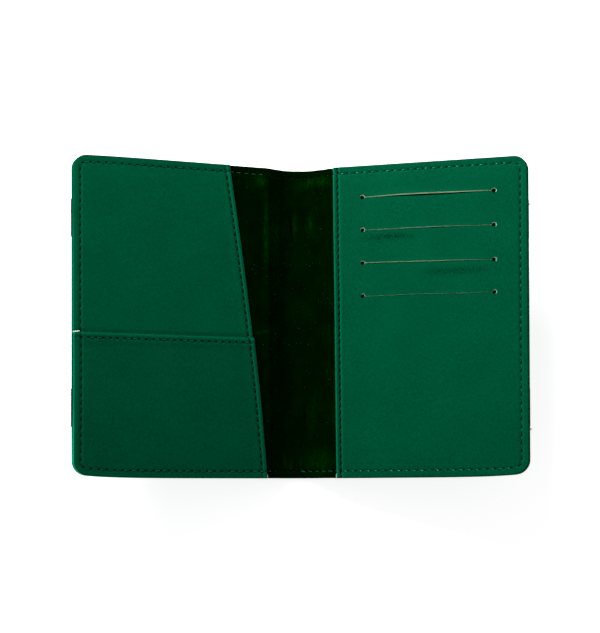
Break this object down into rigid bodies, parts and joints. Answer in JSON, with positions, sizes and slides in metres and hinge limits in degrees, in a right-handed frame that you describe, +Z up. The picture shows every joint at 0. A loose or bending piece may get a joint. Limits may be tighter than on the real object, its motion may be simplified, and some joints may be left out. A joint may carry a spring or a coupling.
{
  "type": "pocket notebook cover",
  "caption": "Green leatherette cover for a pocket notebook or passport, with a soft spine, slanted pockets, slit card pockets and black elastic bands outside.",
  "frame": {"origin": "under the middle of the spine, on the surface that the open cover stands on", "axes": "+X across the open covers towards the right cover, +Y along the spine towards the head, +Z up"},
  "size_m": [0.2001, 0.14, 0.0419],
  "materials": {
    "green_leatherette": "fine-grained satin polyurethane leatherette",
    "dark_lining": "very dark green short-pile velvet",
    "stiffener_board": "plain bonded board",
    "pocket_cloth": "thin plain-woven taffeta",
    "green_thread": "twisted polyester thread",
    "black_elastic": "ribbed woven elastic"
  },
  "bodies": {
    "spine": {"spine_skin": "green_leatherette", "spine_lining": "dark_lining", "spine_stitching": "green_thread", "spine_band_upper": "black_elastic", "spine_band_lower": "black_elastic"},
    "left_cover": {"left_skin": "green_leatherette", "left_board": "stiffener_board", "left_lining": "dark_lining", "slanted_pocket": "green_leatherette", "small_pocket": "green_leatherette", "left_perimeter_stitching": "green_thread", "slanted_hem_stitching": "green_thread", "small_pocket_hem_stitching": "green_thread", "left_band_upper": "black_elastic", "left_band_lower": "black_elastic"},
    "right_cover": {"right_skin": "green_leatherette", "right_board": "stiffener_board", "right_lining": "dark_lining", "card_panel": "green_leatherette", "card_pocket_1": "pocket_cloth", "card_pocket_2": "pocket_cloth", "card_pocket_3": "pocket_cloth", "card_pocket_4": "pocket_cloth", "right_perimeter_stitching": "green_thread", "card_panel_hem_stitching": "green_thread", "right_band_upper": "black_elastic", "right_band_lower": "black_elastic"}
  },
  "joints": [
    {"name": "left_cover_fold", "type": "hinge", "parent": "spine", "child": "left_cover", "pos_m": [-0.0118, 0, 0.00617], "axis": [0, 1, 0], "range_deg": [-22, 74]},
    {"name": "right_cover_fold", "type": "hinge", "parent": "spine", "child": "right_cover", "pos_m": [0.0118, 0, 0.00617], "axis": [0, -1, 0], "range_deg": [-22, 74]}
  ]
}
